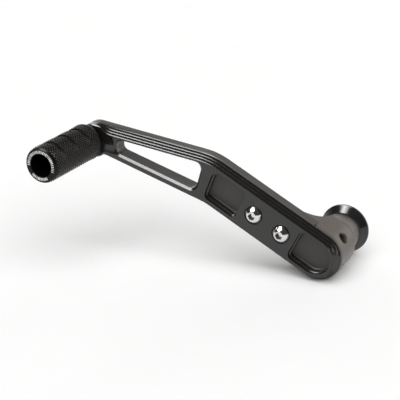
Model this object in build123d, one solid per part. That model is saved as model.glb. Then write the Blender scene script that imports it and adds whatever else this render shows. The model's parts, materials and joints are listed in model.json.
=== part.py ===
from build123d import *

import os
from math import cos, radians, sin, sqrt, tan

# Foot lever that changes gear on a motorcycle. A machined arm with a knurled toe peg is bolted to a hub, and the
# hub turns in two bushes on a fixed post. The post is bolted to the motorcycle from behind.
#
# Millimetres. +Z is up and -Y points outwards, towards the rider's foot. The origin is on the pivot axis, at the
# back face of the post and its flange. Depths are counted from the arm's front face towards +Y. Stations are
# counted along the blade, from the pivot towards the toe, and heights square to the blade.

# Arm, seen square to its front face
lever_length = 152.6  # pivot axis to toe peg axis
toe_rise = 17.6  # degrees that the toe peg stands above the level of the pivot
blade_fall = 26.4  # degrees that the blade falls from its bend to the pivot
blade_half_width = 14.7
toe_radius = 10.15  # toe boss
toe_setback = 2.6  # the boss centre is this much nearer the pivot than the toe peg axis
toe_top_fall = 5.7  # degrees that the toe section's upper edge falls
toe_bottom_fall = 15.4  # degrees that the toe section's lower edge falls
toe_bottom_drop = 7.4  # boss centre to the toe section's lower edge
top_bend_radius = 42.0
bottom_bend_radius = 30.0
throat_radius = 6.0  # hollow between the toe boss and the lower edge

# Arm, through its thickness
arm_thickness = 10.5
step_count = 3
step_drop = 1.1  # each terrace lies this much inside the one behind it
step_depth = 1.45  # each terrace is this much deeper than the one in front
runout_radius = 10.0  # cutter radius where the terraces run out of the upper edge
runout_gap = 1.6  # toe boss edge to the start of the run-out
toe_chamfer = 0.6
back_chamfer = 0.2

# Window through the toe section
top_rail = 5.5
bottom_rail = 6.4
window_toe_gap = 5.3  # toe boss edge to the window
window_end_gap = 1.14  # bend corner to the end of the window, along the blade's centre line
window_end_lean = 15.0  # degrees off the upright
window_toe_corner = 3.8
window_blade_corner = 4.2
window_chamfer = 1.2

# Two stepped pockets in the front face
pocket_step_depth = 2.5
pocket_ledge = 1.1
pocket_fillet = 0.8
bend_pocket_top = 9.05  # height of the pocket's upper side
bend_pocket_bottom = 9.65
bend_pocket_station = 50.6
bend_pocket_length = 22.9
bend_pocket_lean = 1.0  # the bend side of the pocket leans out by this much at the top, and in at the bottom
bend_pocket_top_corner = 4.2
bend_pocket_bottom_corner = 3.0
end_pocket_half_width = 10.0
end_pocket_station = 14.0
end_pocket_corner = 3.6

# Pivot hub
hub_half_width = 14.4
hub_front_depth = 6.4  # seam between the arm and the hub
hub_shoulder_station = 9.0
hub_wing_station = 20.0
hub_wing_radius = 20.0
hub_wing_centre_station = 27.3
hub_wing_centre_depth = 29.5
hub_body_depth = 26.5  # back of the wide part
hub_neck_depth = 31.5
neck_radius = 12.1
neck_end_radius = 11.3
hub_back_depth = 41.5
tongue_half_width = 9.5
tongue_end_station = 50.0
tongue_back_depth = 14.0
tongue_corner = 3.0
tongue_clearance = 0.05
relief_radius = 0.8
relief_length = 3.0
relief_station = 9.4
relief_depth = 5.5

# Threaded hole in the hub's side, for the shift linkage
linkage_hole_radius = 3.0
linkage_hole_angle = 36.7
linkage_hole_depth = 15.2
linkage_hole_length = 5.4
linkage_countersink = 0.9

# Post, bushes and the pieces that keep the hub on the post
post_radius = 6.0
running_clearance = 0.03
bush_wall = 2.0
front_bush_depth = 11.0
front_bush_length = 10.0
rear_bush_depth = 28.0
rear_bush_length = 9.0
thrust_washer_thickness = 0.8
thrust_washer_clearance = 0.3
end_float = 0.1
front_washer_radius = 9.6
rear_washer_radius = 10.7
counterbore_radius = 10.2
counterbore_depth = 10.4
retaining_washer_thickness = 2.6
retaining_washer_radius = 9.0
retaining_screw_radius = 3.0
retaining_screw_length = 12.0
retaining_socket_across = 4.0
retaining_socket_depth = 1.8
retaining_thread_length = 14.0
seal_section_radius = 0.98
seal_depth = 39.5
mount_thread_radius = 3.4
mount_thread_length = 16.0

# Flange at the back of the post
flange_radius = 14.7
flange_rim = 1.6
flange_collar_radius = 11.3
flange_collar_length = 0.7
flange_back_depth = 48.5
flange_chamfer = 0.3

# Arm screws: M6 button heads
screw_stations = {"arm_screw_inner": 22.7, "arm_screw_outer": 41.7}
screw_radius = 3.0
screw_clearance = 0.3
screw_head_radius = 5.25
screw_head_height = 3.3
screw_crown_radius = 2.6
screw_socket_across = 4.0
screw_socket_depth = 2.0
screw_length = 12.0
spotface_clearance = 0.45
spotface_depth = 0.6

# Toe peg
peg_length = 50.5
peg_radius = 11.0
peg_end_chamfer = 0.9
peg_lead = 2.0  # taper behind the end chamfer
peg_lead_drop = 0.5
peg_bore_radius = 6.9
peg_floor = 12.0
peg_seat_radius = 9.0  # where the peg meets the arm
peg_seat_taper = 4.3
scallop_count = 3
scallop_pitch = 12.9
scallop_first = 10.4  # outer end of the peg to the middle of the first scallop
scallop_width = 4.0
scallop_shift = 1.3

# Screw and spring washer that hold the toe peg: M8 cap head
peg_screw_radius = 4.0
peg_screw_clearance = 0.25
peg_screw_head_radius = 6.5
peg_screw_head_height = 8.0
peg_screw_socket_across = 6.0
peg_screw_socket_depth = 4.0
peg_screw_reach = 9.0  # how far it goes into the arm
peg_washer_thickness = 2.0
peg_washer_radius = 6.4
peg_washer_split = 1.2

# Worked out from the sizes above
front_y = -flange_back_depth
peg_axis = (-lever_length * cos(radians(toe_rise)), lever_length * sin(radians(toe_rise)))
boss_centre = (peg_axis[0] + toe_setback, peg_axis[1])
post_front_depth = counterbore_depth - thrust_washer_thickness - end_float
flange_front_depth = hub_back_depth + end_float + thrust_washer_thickness
bush_bore_radius = post_radius + running_clearance
bush_outer_radius = bush_bore_radius + bush_wall
washer_bore_radius = post_radius + thrust_washer_clearance


def on_blade(station, height):
    """The point (x, z) at a station and a height on the blade."""
    along = (-cos(radians(blade_fall)), sin(radians(blade_fall)))
    return (station * along[0] + height * along[1], station * along[1] - height * along[0])


def beside_boss(height, fall):
    """The point at a height above the toe boss centre, square to a line that falls to the right by an angle."""
    return (boss_centre[0] + height * sin(radians(fall)), boss_centre[1] + height * cos(radians(fall)))


def crossing(point_a, fall_a, point_b, fall_b):
    """The point where two lines cross, each through a point and falling to the right by an angle."""
    slope_a = -tan(radians(fall_a))
    slope_b = -tan(radians(fall_b))
    x = (point_b[1] - point_a[1] + slope_a * point_a[0] - slope_b * point_b[0]) / (slope_a - slope_b)
    return (x, point_a[1] + slope_a * (x - point_a[0]))


def polygon(points):
    """A flat outline through points."""
    return Sketch() + make_face(Polyline(*points, close=True))


def blade_polygon(points):
    """A flat outline through (station, height) points on the blade."""
    return polygon([on_blade(station, height) for station, height in points])


def rounded(outline, corners):
    """The outline with each corner, given as (point, radius), made round."""
    for point, radius in corners:
        corner = outline.vertices().sort_by_distance((point[0], point[1], 0))[0]
        outline = fillet(corner, radius)
    return outline


def slab(outline, near, far):
    """An outline in (x, z) made solid between two depths."""
    plane = Plane(origin=(0, front_y + near, 0), x_dir=(1, 0, 0), z_dir=(0, -1, 0))
    return extrude(plane * outline, amount=-(far - near))


def disc(radius, near, far, centre=(0.0, 0.0)):
    """A round solid about an axis along Y."""
    return slab(Pos(*centre) * Circle(radius), near, far)


def ring(outer, inner, near, far, centre=(0.0, 0.0)):
    """A washer or a sleeve about an axis along Y."""
    return disc(outer, near, far, centre) - disc(inner, near, far, centre)


def turned(profile, centre=(0.0, 0.0)):
    """A turned solid about an axis along Y, from (radius, depth) points."""
    section = make_face(Polyline(*[(radius, front_y + depth) for radius, depth in profile], close=True))
    return Pos(centre[0], 0, centre[1]) * revolve(section, axis=Axis.Y)


def hexagon(across, near, far, centre=(0.0, 0.0)):
    """A hexagon socket's space."""
    return slab(Pos(*centre) * RegularPolygon(across / 2, 6, major_radius=False), near, far)


def soft_slab(outline, far, radius):
    """A cutter that starts at the front face, with round edges at its far end."""
    solid = slab(outline, 0, far)
    return fillet(solid.faces().sort_by(Axis.Y)[-1].edges(), radius)


def bend_corner():
    """The corner of the upper edge at the bend, before it is made round."""
    toe_top = beside_boss(toe_radius, toe_top_fall)
    return crossing(toe_top, toe_top_fall, on_blade(0, blade_half_width), blade_fall)


def arm_outline():
    """The arm's outer edge."""
    toe_top = beside_boss(toe_radius, toe_top_fall)
    toe_bottom = beside_boss(-toe_bottom_drop, toe_bottom_fall)
    end_top = on_blade(0, blade_half_width)
    end_bottom = on_blade(0, -blade_half_width)
    top_bend = bend_corner()
    bottom_bend = crossing(toe_bottom, toe_bottom_fall, end_bottom, blade_fall)
    outline = polygon([toe_top, top_bend, end_top, end_bottom, bottom_bend, toe_bottom])
    outline = rounded(outline, [(top_bend, top_bend_radius), (bottom_bend, bottom_bend_radius)])
    outline += Circle(blade_half_width)
    outline += Pos(*boss_centre) * Circle(toe_radius)
    reach = sqrt(toe_radius**2 - toe_bottom_drop**2)
    throat_x = toe_bottom[0] + reach * cos(radians(toe_bottom_fall))
    throat_z = toe_bottom[1] - reach * sin(radians(toe_bottom_fall))
    return rounded(outline, [((throat_x, throat_z), throat_radius)])


def terrace(outline, inset):
    """The rim of the outline that a terrace cuts back. It runs out on a cutter radius beside the toe boss."""
    rim = outline - offset(outline, amount=-inset) - Pos(*boss_centre) * Circle(toe_radius)
    edge = beside_boss(toe_radius - inset, toe_top_fall)
    start = Pos(*edge) * Rot(0, 0, -toe_top_fall) * Pos(toe_radius + runout_gap, 0)
    rim -= start * Pos(-lever_length / 2, toe_radius / 2) * Rectangle(lever_length, 2 * toe_radius)
    return rim + (outline & start * Pos(0, runout_radius) * Circle(runout_radius))


def window_outline():
    """The window, its long sides parallel to the arm's edges."""
    top = beside_boss(toe_radius - top_rail, toe_top_fall)
    bottom = beside_boss(bottom_rail - toe_bottom_drop, toe_bottom_fall)
    toe_end = (boss_centre[0] + toe_radius + window_toe_gap, boss_centre[1])
    bend = bend_corner()
    bend_station = bend[1] * sin(radians(blade_fall)) - bend[0] * cos(radians(blade_fall))
    blade_end = on_blade(bend_station + window_end_gap, 0)
    side = 90 + window_end_lean
    toe_end_fall = 90 + toe_top_fall
    corners = [
        crossing(toe_end, toe_end_fall, top, toe_top_fall),
        crossing(blade_end, side, top, toe_top_fall),
        crossing(blade_end, side, bottom, toe_bottom_fall),
        crossing(toe_end, toe_end_fall, bottom, toe_bottom_fall),
    ]
    radii = [window_toe_corner, window_blade_corner, window_blade_corner, window_toe_corner]
    return rounded(polygon(corners), list(zip(corners, radii)))


def bend_pocket_outline():
    """The pocket between the outer screw and the bend."""
    far = bend_pocket_station + bend_pocket_length
    points = [
        (bend_pocket_station, bend_pocket_top),
        (far + bend_pocket_lean, bend_pocket_top),
        (far - bend_pocket_lean, -bend_pocket_bottom),
        (bend_pocket_station, -bend_pocket_bottom),
    ]
    radii = [bend_pocket_top_corner] * 2 + [bend_pocket_bottom_corner] * 2
    corners = [(on_blade(*point), radius) for point, radius in zip(points, radii)]
    return rounded(blade_polygon(points), corners)


def end_pocket_outline():
    """The pocket round the pivot end."""
    half = end_pocket_half_width
    points = [(end_pocket_station, half), (0, half), (0, -half), (end_pocket_station, -half)]
    corners = [(on_blade(*points[0]), end_pocket_corner), (on_blade(*points[3]), end_pocket_corner)]
    return rounded(blade_polygon(points) + Circle(half), corners)


def tongue_outline(clearance):
    """The hub's tongue, or with a clearance the recess that takes it."""
    half = tongue_half_width + clearance
    end = tongue_end_station + clearance
    points = [(0, half), (end, half), (end, -half), (0, -half)]
    corners = [(on_blade(end, half), tongue_corner), (on_blade(end, -half), tongue_corner)]
    return rounded(blade_polygon(points), corners)


def blade_strip(from_station, to_station, half):
    """A plain strip across the blade."""
    return blade_polygon([(from_station, half), (to_station, half), (to_station, -half), (from_station, -half)])


def hub_plan():
    """The hub's wide part, seen from the front."""
    return Circle(hub_half_width) + blade_strip(0, hub_wing_station, hub_half_width)


def make_arm():
    outline = arm_outline()
    arm = slab(outline, 0, arm_thickness)
    arm = chamfer(arm.faces().sort_by(Axis.Y)[-1].edges(), back_chamfer)
    for number in range(1, step_count + 1):
        depth = (step_count + 1 - number) * step_depth
        arm -= slab(terrace(outline, number * step_drop), 0, depth)
    front = arm.faces().filter_by(Axis.Y).sort_by(Axis.Y)[0]
    toe_edges = [edge for edge in front.edges().filter_by(GeomType.CIRCLE) if abs(edge.radius - toe_radius) < 0.01]
    arm = chamfer(toe_edges, toe_chamfer)
    arm -= slab(window_outline(), 0, arm_thickness)
    front = arm.faces().filter_by(Axis.Y).sort_by(Axis.Y)[0]
    arm = chamfer(front.inner_wires()[0].edges(), window_chamfer)
    for pocket in (bend_pocket_outline(), end_pocket_outline()):
        arm -= soft_slab(pocket, pocket_step_depth, pocket_fillet)
        arm -= soft_slab(offset(pocket, amount=-pocket_ledge), 2 * pocket_step_depth, pocket_fillet)
    for station in screw_stations.values():
        centre = on_blade(station, 0)
        arm -= disc(screw_head_radius + spotface_clearance, 0, spotface_depth, centre)
        arm -= disc(screw_radius + screw_clearance, 0, arm_thickness, centre)
    arm -= disc(peg_screw_radius, 0, arm_thickness, peg_axis)
    arm -= slab(tongue_outline(tongue_clearance), hub_front_depth, arm_thickness)
    open_end = blade_strip(hub_shoulder_station + tongue_clearance, -2 * blade_half_width, 2 * blade_half_width)
    arm -= slab(open_end, hub_front_depth, arm_thickness)
    x, z = on_blade(relief_station, blade_half_width)
    relief = Pos(x, front_y + relief_depth, z) * Rot(0, blade_fall, 0) * Cylinder(relief_radius, 2 * relief_length)
    return arm - relief


def make_hub():
    body = slab(hub_plan(), arm_thickness, hub_body_depth)
    shoulder = blade_strip(hub_shoulder_station, -2 * hub_half_width, 2 * hub_half_width)
    body += slab(hub_plan() & shoulder, hub_front_depth, hub_body_depth)
    body += turned(
        [
            (0, hub_body_depth),
            (hub_half_width, hub_body_depth),
            (neck_radius, hub_neck_depth),
            (0, hub_neck_depth),
        ]
    )
    x, z = on_blade(hub_wing_centre_station, 0)
    wing_cutter = Cylinder(hub_wing_radius, 4 * hub_half_width)
    body -= Pos(x, front_y + hub_wing_centre_depth, z) * Rot(0, blade_fall, 0) * wing_cutter
    body += slab(tongue_outline(0), hub_front_depth, tongue_back_depth)
    body += turned(
        [
            (0, tongue_back_depth),
            (neck_radius, tongue_back_depth),
            (neck_radius, hub_neck_depth),
            (neck_end_radius, hub_back_depth),
            (0, hub_back_depth),
        ]
    )
    body -= disc(bush_outer_radius, hub_front_depth, hub_back_depth)
    body -= disc(counterbore_radius, hub_front_depth, counterbore_depth)
    for station in screw_stations.values():
        body -= disc(screw_radius, hub_front_depth, tongue_back_depth, on_blade(station, 0))
    mouth = hub_half_width - linkage_hole_length
    from_floor = (Align.CENTER, Align.CENTER, Align.MIN)
    hole = Pos(0, 0, mouth) * Cylinder(linkage_hole_radius, 2 * linkage_hole_length, align=from_floor)
    sink_radius = linkage_hole_radius + linkage_countersink
    sink = Cone(linkage_hole_radius, sink_radius + linkage_countersink, 2 * linkage_countersink)
    hole += Pos(0, 0, hub_half_width) * sink
    return body - Pos(0, front_y + linkage_hole_depth, 0) * Rot(0, 90 - linkage_hole_angle, 0) * hole


def make_post():
    post = disc(post_radius, post_front_depth, flange_back_depth)
    post -= disc(retaining_screw_radius, post_front_depth, post_front_depth + retaining_thread_length)
    post -= disc(mount_thread_radius, flange_back_depth - mount_thread_length, flange_back_depth)
    return post


def make_flange():
    rim_depth = flange_back_depth - flange_rim
    return turned(
        [
            (post_radius, flange_front_depth),
            (flange_collar_radius, flange_front_depth),
            (flange_collar_radius, flange_front_depth + flange_collar_length),
            (flange_radius - flange_chamfer, rim_depth),
            (flange_radius, rim_depth + flange_chamfer),
            (flange_radius, flange_back_depth - flange_chamfer),
            (flange_radius - flange_chamfer, flange_back_depth),
            (post_radius, flange_back_depth),
        ]
    )


def make_retaining_washer():
    head_radius = retaining_screw_radius + retaining_washer_thickness
    front = post_front_depth - retaining_washer_thickness
    return turned(
        [
            (retaining_screw_radius, post_front_depth),
            (head_radius, front),
            (retaining_washer_radius, front),
            (retaining_washer_radius, post_front_depth),
        ]
    )


def make_retaining_screw():
    head_radius = retaining_screw_radius + retaining_washer_thickness
    front = post_front_depth - retaining_washer_thickness
    end = post_front_depth + retaining_screw_length
    profile = [
        (0, front),
        (head_radius, front),
        (retaining_screw_radius, post_front_depth),
        (retaining_screw_radius, end),
        (0, end),
    ]
    return turned(profile) - hexagon(retaining_socket_across, front, front + retaining_socket_depth)


def make_arm_screw(station):
    centre = on_blade(station, 0)
    seat = spotface_depth
    top = seat - screw_head_height
    # the dome is part of a sphere through the edge of the seat and the edge of the flat crown
    width_term = (screw_head_radius**2 - screw_crown_radius**2) / screw_head_height
    sphere_depth = (width_term + seat + top) / 2
    sphere_radius = sqrt(screw_head_radius**2 + (sphere_depth - seat) ** 2)
    head = disc(screw_head_radius, top, seat, centre)
    head &= Pos(centre[0], front_y + sphere_depth, centre[1]) * Sphere(sphere_radius)
    head -= hexagon(screw_socket_across, top, top + screw_socket_depth, centre)
    return head + disc(screw_radius, seat, seat + screw_length, centre)


def make_peg():
    peg = turned(
        [
            (peg_bore_radius, -peg_length),
            (peg_radius - peg_lead_drop - peg_end_chamfer, -peg_length),
            (peg_radius - peg_lead_drop, peg_end_chamfer - peg_length),
            (peg_radius, peg_end_chamfer + peg_lead - peg_length),
            (peg_radius, -peg_seat_taper),
            (peg_seat_radius, 0),
            (peg_screw_radius + peg_screw_clearance, 0),
            (peg_screw_radius + peg_screw_clearance, -peg_floor),
            (peg_bore_radius, -peg_floor),
        ],
        peg_axis,
    )
    lowered = (peg_axis[0], peg_axis[1] - scallop_shift)
    for number in range(scallop_count):
        middle = scallop_first + number * scallop_pitch - peg_length
        near = middle - scallop_width / 2
        far = middle + scallop_width / 2
        peg -= ring(2 * peg_radius, peg_radius, near, far, lowered)
    return peg


def make_peg_washer():
    seat = -peg_floor
    bore = peg_screw_radius + peg_screw_clearance
    washer = ring(peg_washer_radius, bore, seat - peg_washer_thickness, seat, peg_axis)
    split = Pos(peg_axis[0], peg_axis[1] + peg_washer_radius) * Rectangle(peg_washer_split, 2 * peg_washer_radius)
    return washer - slab(split, seat - peg_washer_thickness, seat)


def make_peg_screw():
    seat = -peg_floor - peg_washer_thickness
    top = seat - peg_screw_head_height
    screw = disc(peg_screw_head_radius, top, seat, peg_axis)
    screw -= hexagon(peg_screw_socket_across, top, top + peg_screw_socket_depth, peg_axis)
    return screw + disc(peg_screw_radius, seat, peg_screw_reach, peg_axis)


def make_seal():
    middle = post_radius + (bush_outer_radius - post_radius) / 2
    section = Pos(middle, front_y + seal_depth) * Circle(seal_section_radius)
    return revolve(section, axis=Axis.Y)


pieces = {
    "lever_arm": make_arm(),
    "pivot_hub": make_hub(),
    "pivot_post": make_post(),
    "pivot_flange": make_flange(),
    "retaining_washer": make_retaining_washer(),
    "retaining_screw": make_retaining_screw(),
    "toe_peg": make_peg(),
    "peg_washer": make_peg_washer(),
    "peg_screw": make_peg_screw(),
    "hub_seal": make_seal(),
    "front_thrust_washer": ring(
        front_washer_radius, washer_bore_radius, post_front_depth, post_front_depth + thrust_washer_thickness
    ),
    "rear_thrust_washer": ring(
        rear_washer_radius, washer_bore_radius, flange_front_depth - thrust_washer_thickness, flange_front_depth
    ),
    "front_bush": ring(bush_outer_radius, bush_bore_radius, front_bush_depth, front_bush_depth + front_bush_length),
    "rear_bush": ring(bush_outer_radius, bush_bore_radius, rear_bush_depth, rear_bush_depth + rear_bush_length),
}
for name, station in screw_stations.items():
    pieces[name] = make_arm_screw(station)

os.makedirs("parts", exist_ok=True)
for name, solid in pieces.items():
    export_step(solid, f"parts/{name}.step")
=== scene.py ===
import json
import math

import bmesh
import bpy
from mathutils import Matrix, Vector


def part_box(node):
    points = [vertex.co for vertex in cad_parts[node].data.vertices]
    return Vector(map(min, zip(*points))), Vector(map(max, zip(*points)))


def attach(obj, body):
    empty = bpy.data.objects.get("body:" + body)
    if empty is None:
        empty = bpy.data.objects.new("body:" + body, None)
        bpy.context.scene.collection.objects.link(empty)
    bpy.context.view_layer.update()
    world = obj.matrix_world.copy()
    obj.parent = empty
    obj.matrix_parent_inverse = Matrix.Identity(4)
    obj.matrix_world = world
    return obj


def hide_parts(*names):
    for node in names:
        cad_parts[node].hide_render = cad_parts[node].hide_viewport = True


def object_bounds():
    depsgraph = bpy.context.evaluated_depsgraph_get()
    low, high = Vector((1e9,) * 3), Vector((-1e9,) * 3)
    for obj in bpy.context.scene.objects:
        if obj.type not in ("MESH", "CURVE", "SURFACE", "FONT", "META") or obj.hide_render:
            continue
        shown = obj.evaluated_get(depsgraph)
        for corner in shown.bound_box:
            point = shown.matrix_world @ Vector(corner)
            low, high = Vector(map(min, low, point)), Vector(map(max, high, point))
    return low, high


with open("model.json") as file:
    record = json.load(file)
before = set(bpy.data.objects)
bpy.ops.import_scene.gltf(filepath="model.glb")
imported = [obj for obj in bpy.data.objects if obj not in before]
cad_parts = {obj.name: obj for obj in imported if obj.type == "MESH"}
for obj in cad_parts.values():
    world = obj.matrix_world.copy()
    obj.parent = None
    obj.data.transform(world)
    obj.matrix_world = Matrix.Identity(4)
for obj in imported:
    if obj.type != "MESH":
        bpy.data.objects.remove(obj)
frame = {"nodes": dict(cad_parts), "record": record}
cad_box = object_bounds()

# ------------------------------------------------------------------------------------------------
# Sizes. Lengths are in metres, and places come from the frame.

LOWEST = cad_box[0].z

# Arm
ARM_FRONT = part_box("lever_arm")[0].y
BLADE_FALL = math.radians(26.4)  # the blade falls this much towards the pivot
TERRACE_DEPTH = 0.0044  # from the arm's front to just behind its last terrace
TERRACE_BEVEL = 0.00052
TERRACE_LEAST_ANGLE = math.radians(70)  # between the two faces at a terrace's outer corner
TERRACE_LEAST_RISE = 0.3  # upward part of the normal of a face on the upper side
POCKET_END = 0.076  # distance along the blade from the pivot to where the pockets are past
POCKET_REACH = 0.0106  # half the width of the blade that holds the pockets
SIDE_FADE = 0.0003  # length over which the arm's satin front turns to its matt side
SAME_POINT = 0.000002
SAME_PLANE = math.radians(0.4)
SMOOTH_WITHIN = math.radians(30)

# Toe peg
PEG_LOW, PEG_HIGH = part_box("toe_peg")
PEG_X = (PEG_LOW.x + PEG_HIGH.x) / 2
PEG_Z = (PEG_LOW.z + PEG_HIGH.z) / 2
PEG_TURN = 204  # points round the peg, six for each diamond of the knurl
PEG_BORE = 0.0069
PEG_BORE_RIM = 0.00702
PEG_BORE_RIM_DEPTH = 0.0001
PEG_FACE_RIM = 0.0096
PEG_FACE_SINK = 0.75  # how far the marks stand out of the end face, as a share of their height
PEG_SHOULDER = ((0.0101, 0.0006), (0.0103, 0.001))  # radius and distance from the end
PEG_TAPER = (0.0109, 0.0041)  # radius and distance from the seat where the taper starts
PEG_SEAT = 0.009
PEG_SCREW_BORE = 0.00425
PEG_SEAT_WALL = 0.012
ROWS_PER_DIAMOND = 6
KNURL_FIRST_TRAVEL = 0.1  # share of a diamond's length that is left plain at the start
KNURL_LAST_ROW = 0.0001  # length that is left plain at the finish
ON_SIDE = 0.00005  # how close to the knurl's radius a point of the side lies

PEG_KNURL = {
    "Radius": 0.0110,
    "Depth": 0.00065,
    "Diamonds": 34.0,
    "Pitch": 0.002033,
    "Lead": 0.0022,
    "Lead Drop": 0.0006,
    "Start": PEG_LOW.y + 0.0011,
    "Finish": PEG_HIGH.y - 0.0046,
    "Scallops": 3.0,
    "First Scallop": PEG_LOW.y + 0.0104,
    "Scallop Pitch": 0.0129,
    "Scallop Half Width": 0.0019,
    "Scallop Shift": 0.0013,
    "Scallop Lift": 0.00004,
    "Scallop Tip": 0.0003,
}

# "Radius" to "Height" are lengths. A gap's place and half width are shares of a turn. The last two
# numbers bound each mark's own width, as a share of "Width".
END_MARKS = {
    "Count": 50,
    "Radius": 0.00805,
    "Length": 0.00165,
    "Width": 0.0005,
    "Height": 0.00008,
    "First Gap": 0.36,
    "Second Gap": 0.68,
    "Gap": 0.05,
    "Seed": 4,
    "Narrowest": 0.6,
    "Widest": 1.6,
}

# Surfaces
GRAIN_HEIGHT = 0.00004
KNURL_GRAIN_HEIGHT = 0.00005
ROUGHNESS_SPREAD = 0.06  # to either side of a surface's own roughness
CREST_FADE = 0.45  # depth, as a share of the knurl's, at which a groove's painted shade is full; the colour turns paler towards the crests above it

# Studio
FLOOR_REACH = 3.0
FLOOR_DROP = 0.0002
ROOM_COLOUR = (1.0, 0.99, 0.97, 1.0)
ROOM_LEVEL = 0.05
SWEEP_LEVEL = 1.6
SWEEP_TOP = 0.50  # upward part of the direction at the sweep's upper edge
SWEEP_EDGE = 0.06  # half the width of that edge's fade
SWEEP_FULL = 0.45  # backward part of the direction from which the sweep is at its full level
# Name, direction, strength, spread in degrees, and whether the lamp shows only in gloss. A lamp
# that doesn't lights only what is matt.
LAMPS = (
    ("wide lamp", (0.2, -0.35, 0.9), 3.1, 80.0, False),
    ("soft box", (-0.33, -0.43, 0.84), 4.2, 38.0, True),
    ("strip lamp", (-0.32, -0.1, 0.94), 0.5, 14.0, True),
)

# Camera. The lens and sensor are in millimetres.
CAMERA_PLACE = (0.22538, ARM_FRONT - 0.56763, 0.27782)
CAMERA_TILT = math.radians(21.815)
CAMERA_TURN = math.radians(27.592)
CAMERA_LENS = 108.0
CAMERA_SENSOR = 36.0


# ------------------------------------------------------------------------------------------------
# Nodes

def node(tree, kind, values=None, **settings):
    """A node with its settings, and its sockets' values or links by name or number."""
    made = tree.nodes.new(kind)
    for key, value in settings.items():
        setattr(made, key, value)
    for key, value in (values or {}).items():
        if isinstance(value, bpy.types.NodeSocket):
            tree.links.new(value, made.inputs[key])
        else:
            made.inputs[key].default_value = value
    return made


class Maths:
    """Adds math nodes to one tree. Each method returns its node's result."""

    def __init__(self, tree):
        self.tree = tree

    def of(self, operation, first, second=0.0):
        sockets = {0: first, 1: second}
        return node(self.tree, "ShaderNodeMath", sockets, operation=operation).outputs[0]

    def add(self, first, second):
        return self.of("ADD", first, second)

    def sub(self, first, second):
        return self.of("SUBTRACT", first, second)

    def mul(self, first, second):
        return self.of("MULTIPLY", first, second)

    def div(self, first, second):
        return self.of("DIVIDE", first, second)

    def least(self, first, second):
        return self.of("MINIMUM", first, second)

    def most(self, first, second):
        return self.of("MAXIMUM", first, second)

    def under(self, first, second):
        return self.of("LESS_THAN", first, second)

    def over(self, first, second):
        return self.of("GREATER_THAN", first, second)

    def square(self, value):
        return self.of("POWER", value, 2.0)

    def root(self, value):
        return self.of("SQRT", value)

    def sin(self, angle):
        return self.of("SINE", angle)

    def cos(self, angle):
        return self.of("COSINE", angle)


def mix_colour(tree, factor, first, second, blend="MIX"):
    """One colour mixed into another."""
    sockets = {0: factor, 6: first, 7: second}  # the colour sockets' numbers
    return node(tree, "ShaderNodeMix", sockets, data_type="RGBA", blend_type=blend).outputs[2]


def object_place(tree):
    """A point's place in its object."""
    return node(tree, "ShaderNodeTexCoord").outputs["Object"]


def noise(tree, scale, detail):
    """Noise from 0 to 1 that stays with its object."""
    sockets = {"Vector": object_place(tree), "Scale": scale, "Detail": detail}
    return node(tree, "ShaderNodeTexNoise", sockets).outputs["Fac"]


# ------------------------------------------------------------------------------------------------
# Shader groups

def number_socket(tree, label, in_out):
    """A named number socket on a shader group."""
    return tree.interface.new_socket(name=label, in_out=in_out, socket_type="NodeSocketFloat")


def new_group(name, inputs, outputs):
    """An empty shader group with named number inputs and outputs."""
    tree = bpy.data.node_groups.new(name, "ShaderNodeTree")
    for label, default in inputs.items():
        number_socket(tree, label, "INPUT").default_value = default
    for label in outputs:
        number_socket(tree, label, "OUTPUT")
    given = tree.nodes.new("NodeGroupInput").outputs
    result = tree.nodes.new("NodeGroupOutput").inputs
    return tree, given, result


def build_blasted_grain():
    """Fine even grain of a bead-blasted and anodised surface, with slow cloudy drift in tone."""
    sizes = {"Scale": 4000.0, "Drift Scale": 60.0, "Drift": 0.1}
    tree, given, result = new_group("blasted grain", sizes, ("Height", "Tone"))
    maths = Maths(tree)
    fine = noise(tree, given["Scale"], detail=2.0)
    slow = noise(tree, given["Drift Scale"], detail=4.0)
    centred = maths.sub(slow, 0.5)
    tree.links.new(fine, result["Height"])
    tree.links.new(maths.add(maths.mul(centred, given["Drift"]), 1.0), result["Tone"])
    return tree


def build_worn_edge():
    """A mask that is 1 along sharp edges, broken up by noise, and 0 elsewhere."""
    sizes = {"Width": 0.0004, "Break Scale": 900.0, "Gain": 9.0, "Strength": 1.0}
    tree, given, result = new_group("worn edge", sizes, ("Mask",))
    maths = Maths(tree)
    true_normal = node(tree, "ShaderNodeNewGeometry").outputs["Normal"]
    rounded = node(tree, "ShaderNodeBevel", {"Radius": given["Width"]}, samples=4)
    normals = {0: true_normal, 1: rounded.outputs["Normal"]}
    turn = node(tree, "ShaderNodeVectorMath", normals, operation="DOT_PRODUCT")
    bend = maths.sub(1.0, turn.outputs["Value"])
    gaps = noise(tree, given["Break Scale"], detail=3.0)
    broken = maths.mul(maths.mul(bend, gaps), given["Gain"])
    full = node(tree, "ShaderNodeClamp", {"Value": maths.mul(broken, given["Strength"])})
    tree.links.new(full.outputs[0], result["Mask"])
    return tree


BLASTED_GRAIN = build_blasted_grain()
WORN_EDGE = build_worn_edge()


# ------------------------------------------------------------------------------------------------
# Materials

def new_material(name):
    """A material with a shader and its tree."""
    material = bpy.data.materials.new(name)
    material.use_nodes = True
    tree = material.node_tree
    tree.nodes.clear()
    shader = tree.nodes.new("ShaderNodeBsdfPrincipled")
    output = tree.nodes.new("ShaderNodeOutputMaterial")
    tree.links.new(shader.outputs[0], output.inputs["Surface"])
    return material, tree, shader


def ranged(tree, value, low, high):
    """A value from 0 to 1 stretched to run from low to high."""
    sockets = {"Value": value, "To Min": low, "To Max": high}
    return node(tree, "ShaderNodeMapRange", sockets).outputs[0]


def blasted_grain(tree, sizes):
    """The grain in a material's tree."""
    return node(tree, "ShaderNodeGroup", sizes, node_tree=BLASTED_GRAIN)


def toned(tree, colour, grains):
    """A colour with the grain's slow drift."""
    return mix_colour(tree, 1.0, colour, grains.outputs["Tone"], "MULTIPLY")


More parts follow.
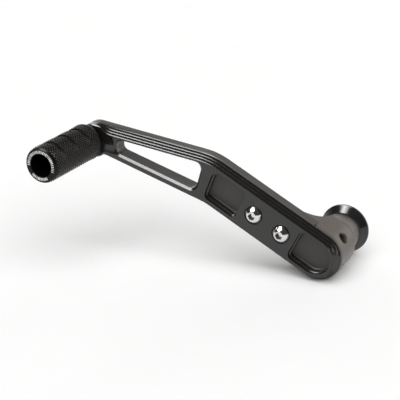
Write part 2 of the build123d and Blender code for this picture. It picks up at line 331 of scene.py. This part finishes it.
def grain_bump(tree, shader, grains, strength, distance=GRAIN_HEIGHT):
    """Raises the grain on a surface."""
    sockets = {"Height": grains.outputs["Height"], "Strength": strength, "Distance": distance}
    tree.links.new(node(tree, "ShaderNodeBump", sockets).outputs[0], shader.inputs["Normal"])


def grained(name, colour, edge_colour, roughness, grain, edge_strength, metallic=0.0):
    """A plain surface with fine grain, paler where its edges are rubbed."""
    material, tree, shader = new_material(name)
    shader.inputs["Metallic"].default_value = metallic
    grains = blasted_grain(tree, {"Scale": 3800.0, "Drift": 0.25})
    edges = node(tree, "ShaderNodeGroup", {"Strength": edge_strength}, node_tree=WORN_EDGE)
    base = toned(tree, (*colour, 1.0), grains)
    rubbed = mix_colour(tree, edges.outputs["Mask"], base, (*edge_colour, 1.0))
    tree.links.new(rubbed, shader.inputs["Base Color"])
    smoothest, roughest = roughness - ROUGHNESS_SPREAD, roughness + ROUGHNESS_SPREAD
    rough = ranged(tree, grains.outputs["Height"], smoothest, roughest)
    tree.links.new(rough, shader.inputs["Roughness"])
    grain_bump(tree, shader, grains, grain)
    return material


def knurled_black():
    """Black anodised knurl: painted shade in the grooves and the scallops, which are near black, and
    paler brown on the crests.
    """
    material, tree, shader = new_material("knurled black")
    maths = Maths(tree)
    grains = blasted_grain(tree, {"Drift": 0.9, "Drift Scale": 700.0})
    groove = node(tree, "ShaderNodeAttribute", attribute_name="groove").outputs["Fac"]
    scallop = node(tree, "ShaderNodeAttribute", attribute_name="scallop").outputs["Fac"]
    # The grooves are painted near black as shade, deeper grooves darker, and the scallops are painted
    # near black as shade too; the brown is the crests' colour.
    high = node(tree, "ShaderNodeMapRange", {"Value": groove, "From Min": CREST_FADE, "From Max": 0.0})
    crest_not_painted_shade = maths.mul(high.outputs[0], maths.sub(1.0, scallop))
    base = mix_colour(tree, crest_not_painted_shade, (0.002, 0.002, 0.002, 1.0), (0.24, 0.215, 0.195, 1.0))
    tree.links.new(toned(tree, base, grains), shader.inputs["Base Color"])
    tree.links.new(ranged(tree, scallop, low=0.3, high=0.38), shader.inputs["Roughness"])
    grain_bump(tree, shader, grains, strength=0.3, distance=KNURL_GRAIN_HEIGHT)
    shader.inputs["Specular IOR Level"].default_value = 0.2
    return material


def machined_black():
    """Black anodised arm: satin on the front and the terraces, matt and paler behind them."""
    material, tree, shader = new_material("machined black")
    maths = Maths(tree)
    grains = blasted_grain(tree, {"Drift": 0.5})
    depth = node(tree, "ShaderNodeSeparateXYZ", {0: object_place(tree)}).outputs["Y"]
    side_start = ARM_FRONT + TERRACE_DEPTH
    sockets = {"Value": depth, "From Min": side_start, "From Max": side_start + SIDE_FADE}
    side = node(tree, "ShaderNodeMapRange", sockets).outputs[0]
    base = mix_colour(tree, side, (0.010, 0.0085, 0.0078, 1.0), (0.034, 0.029, 0.025, 1.0))
    tree.links.new(toned(tree, base, grains), shader.inputs["Base Color"])
    satin = ranged(tree, grains.outputs["Height"], low=0.2, high=0.3)
    duller = ranged(tree, side, low=0.0, high=0.26)
    tree.links.new(maths.add(satin, duller), shader.inputs["Roughness"])
    grain_bump(tree, shader, grains, strength=0.25)
    shader.inputs["Specular IOR Level"].default_value = 0.68
    return material


MATERIALS = {
    "black_anodised": machined_black(),
    "grey_anodised": grained(
        "grey anodised", colour=(0.105, 0.09, 0.078), edge_colour=(0.25, 0.23, 0.2),
        roughness=0.36, grain=0.3, edge_strength=0.1, metallic=0.55,
    ),
    "peg_black": knurled_black(),
    "bare_aluminium": grained(
        "bare aluminium", colour=(0.78, 0.77, 0.75), edge_colour=(0.9, 0.9, 0.9),
        roughness=0.34, grain=0.2, edge_strength=0.1, metallic=1.0,
    ),
    "flange_black": grained(
        "gloss black", colour=(0.012, 0.011, 0.011), edge_colour=(0.2, 0.2, 0.2),
        roughness=0.16, grain=0.05, edge_strength=0.2,
    ),
    "bright_screw": grained(
        "bright plate", colour=(0.72, 0.71, 0.7), edge_colour=(0.9, 0.9, 0.9),
        roughness=0.14, grain=0.05, edge_strength=0.2, metallic=1.0,
    ),
    "dark_screw": grained(
        "black oxide", colour=(0.05, 0.05, 0.055), edge_colour=(0.3, 0.3, 0.3),
        roughness=0.35, grain=0.2, edge_strength=0.4, metallic=0.8,
    ),
    "plain_steel": grained(
        "ground steel", colour=(0.5, 0.49, 0.47), edge_colour=(0.7, 0.7, 0.7),
        roughness=0.28, grain=0.2, edge_strength=0.3, metallic=1.0,
    ),
    "bronze": grained(
        "sintered bronze", colour=(0.5, 0.32, 0.14), edge_colour=(0.7, 0.5, 0.3),
        roughness=0.4, grain=0.4, edge_strength=0.3, metallic=1.0,
    ),
    "seal_rubber": grained(
        "seal rubber", colour=(0.015, 0.015, 0.015), edge_colour=(0.03, 0.03, 0.03),
        roughness=0.6, grain=0.3, edge_strength=0.1,
    ),
}

for part in frame["record"]["subparts"]:
    shown = frame["nodes"][part["node"]]
    shown.data.materials.clear()
    shown.data.materials.append(MATERIALS[part["material_slot"]])


# ------------------------------------------------------------------------------------------------
# Geometry Nodes

def new_shape_tree(name, sizes):
    """A Geometry Nodes tree with a named input for each size and for the material."""
    tree = bpy.data.node_groups.new(name, "GeometryNodeTree")
    sockets = tree.interface
    sockets.new_socket(name="Geometry", in_out="INPUT", socket_type="NodeSocketGeometry")
    for label, value in sizes.items():
        kind = "NodeSocketInt" if isinstance(value, int) else "NodeSocketFloat"
        sockets.new_socket(name=label, in_out="INPUT", socket_type=kind).default_value = value
    sockets.new_socket(name="Material", in_out="INPUT", socket_type="NodeSocketMaterial")
    sockets.new_socket(name="Geometry", in_out="OUTPUT", socket_type="NodeSocketGeometry")
    return tree, tree.nodes.new("NodeGroupInput").outputs


def end_shape_tree(tree, geometry, material):
    """Ends a tree with real meshes in one material."""
    real = node(tree, "GeometryNodeRealizeInstances", {"Geometry": geometry})
    sockets = {"Geometry": real.outputs[0], "Material": material}
    finish = node(tree, "GeometryNodeSetMaterial", sockets)
    node(tree, "NodeGroupOutput", {0: finish.outputs[0]})


def finished_by(blank, tree, values):
    """The plain mesh that a Geometry Nodes tree makes of a blank."""
    modifier = blank.modifiers.new("shape", "NODES")
    modifier.node_group = tree
    inputs = [item for item in tree.interface.items_tree if item.in_out == "INPUT"]
    identifiers = {item.name: item.identifier for item in inputs}
    for label, value in values.items():
        modifier[identifiers[label]] = value
    depsgraph = bpy.context.evaluated_depsgraph_get()
    mesh = bpy.data.meshes.new_from_object(blank.evaluated_get(depsgraph), depsgraph=depsgraph)
    blank.modifiers.clear()
    blank.data = mesh
    return blank


def link(name, mesh):
    """A new object in the scene."""
    made = bpy.data.objects.new(name, mesh)
    bpy.context.scene.collection.objects.link(made)
    return made


# ------------------------------------------------------------------------------------------------
# Toe peg: a turned tube with its knurl and scallops

def lathe(name, profile, steps):
    """A ring turned about the peg's axis from a closed outline of (radius, y) points."""
    mesh = bpy.data.meshes.new(name)
    build = bmesh.new()
    rows = []
    for radius, y in profile:
        row = []
        for index in range(steps):
            angle = 2 * math.pi * index / steps
            place = (PEG_X + radius * math.sin(angle), y, PEG_Z + radius * math.cos(angle))
            row.append(build.verts.new(place))
        rows.append(row)
    for lower, upper in zip(rows, rows[1:] + rows[:1]):
        for index in range(steps):
            after = (index + 1) % steps
            build.faces.new((lower[index], lower[after], upper[after], upper[index]))
    bmesh.ops.recalc_face_normals(build, faces=build.faces)
    build.to_mesh(mesh)
    build.free()
    return link(name, mesh)


def peg_profile():
    """The peg's half section: bore, end, side with close rows for the knurl, taper and seat."""
    near, far = PEG_LOW.y, PEG_HIGH.y
    floor = far - PEG_SEAT_WALL
    face = near + END_MARKS["Height"] * PEG_FACE_SINK
    points = [(PEG_BORE, floor), (PEG_BORE, face + PEG_BORE_RIM_DEPTH), (PEG_BORE_RIM, face)]
    points.append((PEG_FACE_RIM, face))
    points += [(radius, near + inward) for radius, inward in PEG_SHOULDER]
    length = PEG_KNURL["Finish"] - PEG_KNURL["Start"]
    rows = int(length / PEG_KNURL["Pitch"] * ROWS_PER_DIAMOND)
    step = length / rows
    points += [(PEG_KNURL["Radius"], PEG_KNURL["Start"] + row * step) for row in range(rows + 1)]
    points += [(PEG_TAPER[0], far - PEG_TAPER[1]), (PEG_SEAT, far)]
    points += [(PEG_SCREW_BORE, far), (PEG_SCREW_BORE, floor)]
    return points


def knurl_cut(maths, size, angle, along):
    """How deep the knurl is cut at a point of the side, and 1 where the knurl runs, else 0."""
    turns = maths.mul(maths.div(angle, 2 * math.pi), size["Diamonds"])
    travel = maths.div(maths.sub(along, size["Start"]), size["Pitch"])
    crests = []
    for across_grooves in (maths.add(turns, travel), maths.sub(turns, travel)):
        # 0 in a groove, 1 on the crest between two grooves
        crests.append(maths.mul(maths.of("PINGPONG", across_grooves, 0.5), 2.0))
    hollow = maths.mul(maths.sub(1.0, maths.least(*crests)), size["Depth"])
    started = maths.over(travel, KNURL_FIRST_TRAVEL)
    not_stopped = maths.under(along, maths.sub(size["Finish"], KNURL_LAST_ROW))
    runs = maths.mul(started, not_stopped)
    return maths.mul(runs, hollow), runs


def lead_drop(maths, size, along):
    """How much smaller the side is where it leads in from the end."""
    lead_end = maths.add(size["Start"], size["Lead"])
    before_lead_end = maths.div(maths.sub(lead_end, along), size["Lead"])
    return maths.mul(maths.most(before_lead_end, 0.0), size["Lead Drop"])


def scallop_radius(maths, size, angle):
    """The radius of a scallop's floor, a circle R that is lowered by s.

    It is sqrt(R^2 - (s sin a)^2) - s cos a.
    """
    drop = maths.mul(size["Scallop Shift"], maths.cos(angle))
    side = maths.mul(size["Scallop Shift"], maths.sin(angle))
    room = maths.sub(maths.square(size["Radius"]), maths.square(side))
    return maths.add(maths.sub(maths.root(room), drop), size["Scallop Lift"])


def in_scallop(maths, size, along):
    """1 within the width of a scallop, else 0."""
    first_edge = maths.sub(size["First Scallop"], size["Scallop Half Width"])
    from_first = maths.sub(along, first_edge)
    number = maths.of("FLOOR", maths.div(from_first, size["Scallop Pitch"]))
    within = maths.sub(from_first, maths.mul(number, size["Scallop Pitch"]))
    inside = maths.under(within, maths.mul(size["Scallop Half Width"], 2.0))
    not_past_last = maths.under(number, maths.sub(size["Scallops"], 0.5))
    not_before_first = maths.over(number, -0.5)
    return maths.mul(maths.mul(inside, not_past_last), not_before_first)


def knurl_tree():
    """Sinks the side between the knurl's diamonds, and cuts the scallops smooth across it."""
    tree, size = new_shape_tree("knurl and scallops", PEG_KNURL)
    maths = Maths(tree)
    position = tree.nodes.new("GeometryNodeInputPosition").outputs[0]
    place = node(tree, "ShaderNodeSeparateXYZ", {0: position}).outputs
    across = maths.sub(place["X"], PEG_X)
    up = maths.sub(place["Z"], PEG_Z)
    along = place["Y"]
    angle = maths.of("ARCTAN2", across, up)

    cut, runs = knurl_cut(maths, size, angle, along)
    knurled = maths.sub(maths.sub(size["Radius"], cut), lead_drop(maths, size, along))
    floor = scallop_radius(maths, size, angle)
    below_tips = maths.under(floor, maths.sub(size["Radius"], size["Scallop Tip"]))
    scalloped = maths.mul(in_scallop(maths, size, along), below_tips)
    radius = maths.add(knurled, maths.mul(scalloped, maths.sub(floor, knurled)))
    ratio = maths.div(radius, size["Radius"])
    moved_x = maths.add(PEG_X, maths.mul(across, ratio))
    moved_z = maths.add(PEG_Z, maths.mul(up, ratio))
    moved = node(tree, "ShaderNodeCombineXYZ", {0: moved_x, 1: along, 2: moved_z})

    reach = maths.root(maths.add(maths.square(across), maths.square(up)))
    on_side = maths.over(reach, maths.sub(size["Radius"], ON_SIDE))
    groove = maths.most(maths.sub(1.0, runs), maths.div(cut, size["Depth"]))
    # The peg's colour reads these: painted shade where "groove" is high and in the scallops. Off the
    # knurled side "groove" is 1, so the ends and bore take the same near black.
    attributes = {
        "scallop": maths.mul(scalloped, on_side),
        "groove": maths.most(groove, maths.sub(1.0, on_side)),
    }
    marked = size["Geometry"]
    for label, value in attributes.items():
        sockets = {"Name": label, "Geometry": marked, "Value": value}
        stored = node(tree, "GeometryNodeStoreNamedAttribute", sockets, data_type="FLOAT")
        marked = stored.outputs[0]
    sockets = {"Geometry": marked, "Selection": on_side, "Position": moved.outputs[0]}
    shaped = node(tree, "GeometryNodeSetPosition", sockets)
    end_shape_tree(tree, shaped.outputs[0], size["Material"])
    return tree


def make_peg():
    """The toe peg with its knurl."""
    blank = lathe("knurled_peg", peg_profile(), PEG_TURN)
    peg = finished_by(blank, knurl_tree(), {**PEG_KNURL, "Material": MATERIALS["peg_black"]})
    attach(peg, "lever")
    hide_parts("toe_peg")


# ------------------------------------------------------------------------------------------------
# Marks on the peg's end

def end_mark_tree():
    """Short bare marks round the end of the peg, with two gaps."""
    tree, size = new_shape_tree("end marks", END_MARKS)
    maths = Maths(tree)
    part = maths.div(tree.nodes.new("GeometryNodeInputIndex").outputs[0], size["Count"])
    angle = maths.mul(part, 2 * math.pi)
    x = maths.add(PEG_X, maths.mul(size["Radius"], maths.sin(angle)))
    y = maths.add(PEG_LOW.y, maths.div(size["Height"], 2.0))
    z = maths.add(PEG_Z, maths.mul(size["Radius"], maths.cos(angle)))
    place = node(tree, "ShaderNodeCombineXYZ", {0: x, 1: y, 2: z})
    sockets = {"Count": size["Count"], "Position": place.outputs[0]}
    points = node(tree, "GeometryNodePoints", sockets)
    in_gap = [
        maths.under(maths.of("ABSOLUTE", maths.sub(part, size[label])), size["Gap"])
        for label in ("First Gap", "Second Gap")
    ]
    kept = maths.sub(1.0, maths.most(*in_gap))
    lengths = {0: size["Width"], 1: size["Height"], 2: size["Length"]}
    bar_size = node(tree, "ShaderNodeCombineXYZ", lengths)
    bar = node(tree, "GeometryNodeMeshCube", {"Size": bar_size.outputs[0]})
    turn = node(tree, "ShaderNodeCombineXYZ", {1: angle})
    # Sockets 2 and 3, and output 1, are the random value's number sockets.
    sockets = {"Seed": size["Seed"], 2: size["Narrowest"], 3: size["Widest"]}
    uneven = node(tree, "FunctionNodeRandomValue", sockets, data_type="FLOAT")
    scale = node(tree, "ShaderNodeCombineXYZ", {0: uneven.outputs[1], 1: 1.0, 2: 1.0})
    copies = node(
        tree,
        "GeometryNodeInstanceOnPoints",
        {
            "Points": points.outputs[0],
            "Selection": kept,
            "Instance": bar.outputs[0],
            "Rotation": turn.outputs[0],
            "Scale": scale.outputs[0],
        },
    )
    end_shape_tree(tree, copies.outputs[0], size["Material"])
    return tree


def make_end_marks():
    """The bare marks, their faces level with the peg's end."""
    blank = link("peg_end_marks", bpy.data.meshes.new("peg_end_marks"))
    values = {**END_MARKS, "Material": MATERIALS["bare_aluminium"]}
    marks = finished_by(blank, end_mark_tree(), values)
    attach(marks, "lever")


# ------------------------------------------------------------------------------------------------
# Arm

def on_terrace(edge):
    """Whether an edge is the outer corner of a terrace on the arm's upper side."""
    if not edge.is_manifold or not edge.is_convex:
        return False
    if edge.calc_face_angle(0.0) < TERRACE_LEAST_ANGLE:
        return False
    middle = (edge.verts[0].co + edge.verts[1].co) / 2
    along = middle.z * math.sin(BLADE_FALL) - middle.x * math.cos(BLADE_FALL)
    height = middle.z * math.cos(BLADE_FALL) + middle.x * math.sin(BLADE_FALL)
    clear_of_pockets = along > POCKET_END or abs(height) > POCKET_REACH
    faces_up = max(face.normal.z for face in edge.link_faces) > TERRACE_LEAST_RISE
    return clear_of_pockets and faces_up and middle.y < ARM_FRONT + TERRACE_DEPTH


def make_arm():
    """The arm with a bevel on the terraces of its upper side."""
    mesh = frame["nodes"]["lever_arm"].data.copy()
    build = bmesh.new()
    build.from_mesh(mesh)
    bmesh.ops.remove_doubles(build, verts=build.verts, dist=SAME_POINT)
    bmesh.ops.dissolve_limit(build, angle_limit=SAME_PLANE, verts=build.verts, edges=build.edges)
    weight = build.edges.layers.float.new("bevel_weight_edge")
    for edge in build.edges:
        edge[weight] = 1.0 if on_terrace(edge) else 0.0
    build.to_mesh(mesh)
    build.free()
    arm = link("machined_arm", mesh)
    bevels = arm.modifiers.new("terrace bevels", "BEVEL")
    bevels.width = TERRACE_BEVEL
    bevels.segments = 1
    bevels.limit_method = "WEIGHT"
    bevels.use_clamp_overlap = False
    depsgraph = bpy.context.evaluated_depsgraph_get()
    finished = bpy.data.meshes.new_from_object(arm.evaluated_get(depsgraph), depsgraph=depsgraph)
    arm.modifiers.clear()
    arm.data = finished
    finished.shade_smooth()
    finished.set_sharp_from_angle(angle=SMOOTH_WITHIN)
    finished.materials.clear()
    finished.materials.append(MATERIALS["black_anodised"])
    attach(arm, "lever")
    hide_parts("lever_arm")


make_peg()
make_end_marks()
make_arm()


# ------------------------------------------------------------------------------------------------
# Floor, light and camera

def plain_floor():
    """A pale floor that the lowest point of the object stands on."""
    mesh = bpy.data.meshes.new("floor")
    corners = [(-1, -1), (1, -1), (1, 1), (-1, 1)]
    level = LOWEST - FLOOR_DROP
    places = [(x * FLOOR_REACH, y * FLOOR_REACH, level) for x, y in corners]
    mesh.from_pydata(places, [], [(0, 1, 2, 3)])
    material, tree, shader = new_material("pale floor")
    tone = ranged(tree, noise(tree, scale=14.0, detail=3.0), low=0.88, high=0.92)
    tree.links.new(tone, shader.inputs["Base Color"])
    shader.inputs["Roughness"].default_value = 0.9
    shader.inputs["Specular IOR Level"].default_value = 0.1
    mesh.materials.append(material)
    link("floor", mesh)


def sweep_fade(tree, value, start, full):
    """A soft step from 0 at start to 1 at full."""
    sockets = {"Value": value, "From Min": start, "From Max": full}
    return node(tree, "ShaderNodeMapRange", sockets, interpolation_type="SMOOTHSTEP").outputs[0]


def dark_room():
    """A dark room with a white sweep low down behind the object."""
    world = bpy.data.worlds.new("studio")
    world.use_nodes = True
    tree = world.node_tree
    direction = node(tree, "ShaderNodeTexCoord").outputs["Generated"]
    parts = node(tree, "ShaderNodeSeparateXYZ", {0: direction}).outputs
    behind = sweep_fade(tree, parts["Y"], 0.0, SWEEP_FULL)
    low = sweep_fade(tree, parts["Z"], SWEEP_TOP + SWEEP_EDGE, SWEEP_TOP - SWEEP_EDGE)
    level = ranged(tree, Maths(tree).mul(behind, low), ROOM_LEVEL, SWEEP_LEVEL)
    background = tree.nodes["Background"]
    background.inputs["Color"].default_value = ROOM_COLOUR
    tree.links.new(level, background.inputs["Strength"])
    bpy.context.scene.world = world


def lamps():
    """A wide lamp that lights only what is matt, and two that show only in gloss."""
    for name, direction, strength, spread, glossy in LAMPS:
        data = bpy.data.lights.new(name, "SUN")
        data.energy = strength
        data.angle = math.radians(spread)
        lamp = link(name, data)
        lamp.rotation_euler = Vector(direction).to_track_quat("Z", "Y").to_euler()
        lamp.visible_glossy = glossy
        lamp.visible_diffuse = not glossy


def three_quarter_camera():
    """The camera: its place, its turn to the left, its tilt down and its long lens."""
    data = bpy.data.cameras.new("camera")
    data.sensor_width = CAMERA_SENSOR
    data.lens = CAMERA_LENS
    camera = link("camera", data)
    camera.location = CAMERA_PLACE
    camera.rotation_euler = (math.pi / 2 - CAMERA_TILT, 0.0, CAMERA_TURN)
    bpy.context.scene.camera = camera


three_quarter_camera()
dark_room()
lamps()
plain_floor()
bpy.context.scene.view_settings.view_transform = "Standard"
